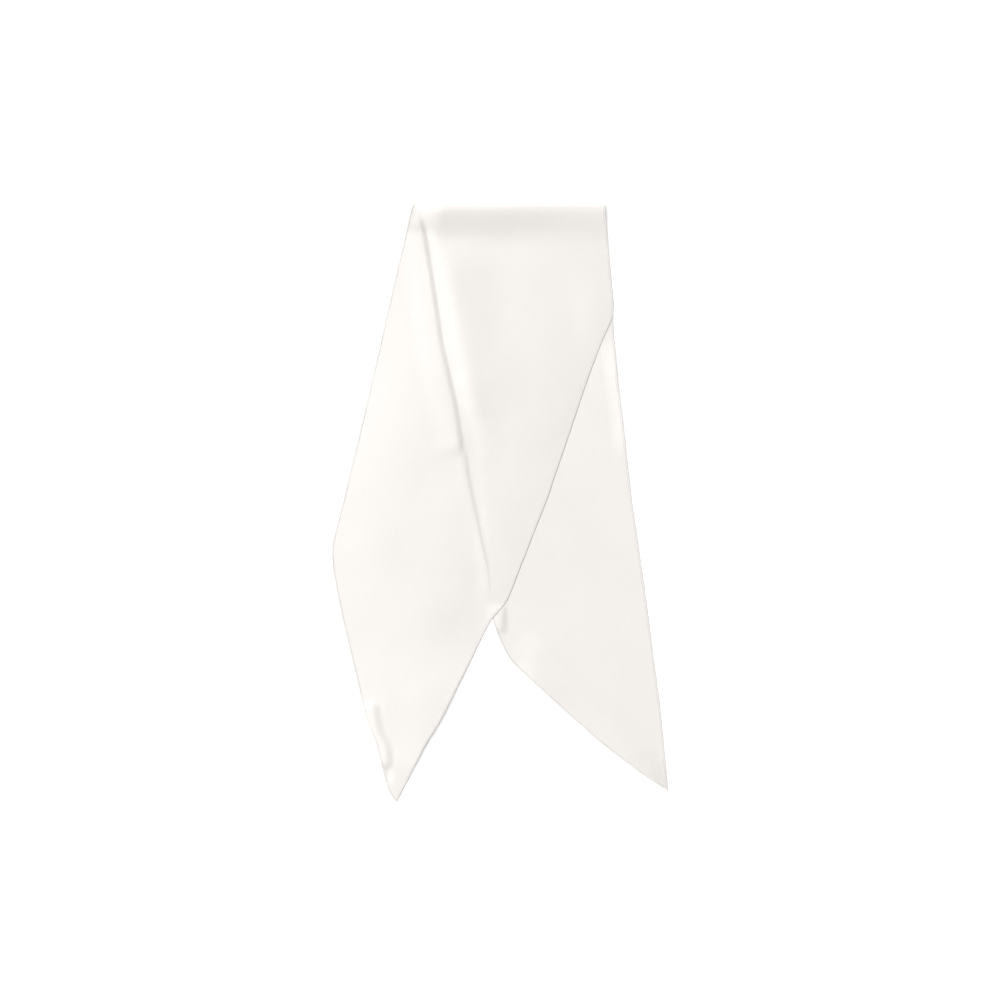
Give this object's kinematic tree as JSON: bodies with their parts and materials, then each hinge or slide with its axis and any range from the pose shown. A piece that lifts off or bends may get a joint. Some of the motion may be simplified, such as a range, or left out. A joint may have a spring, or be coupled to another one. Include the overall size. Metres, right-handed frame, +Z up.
{
  "type": "folded silk neck scarf",
  "caption": "Long narrow silk neck scarf with slanting pointed ends, folded once in half over a soft roll and laid flat with its tails fanned.",
  "frame": {"origin": "middle of the laid outline, on the surface that the scarf lies on", "axes": "+Z up from the surface, +Y from the tips to the fold, +X to the right seen from above with the fold at the top"},
  "size_m": [0.2704, 0.4792, 0.008],
  "materials": {
    "silk": "fine satin-faced silk, warm white",
    "hem": "narrow turned silk hem with fine stitching, warm white"
  },
  "bodies": {
    "root": {"silk_panel": "silk", "hem_left": "hem", "hem_right": "hem", "hem_front_end": "hem", "hem_back_end": "hem"}
  },
  "joints": []
}
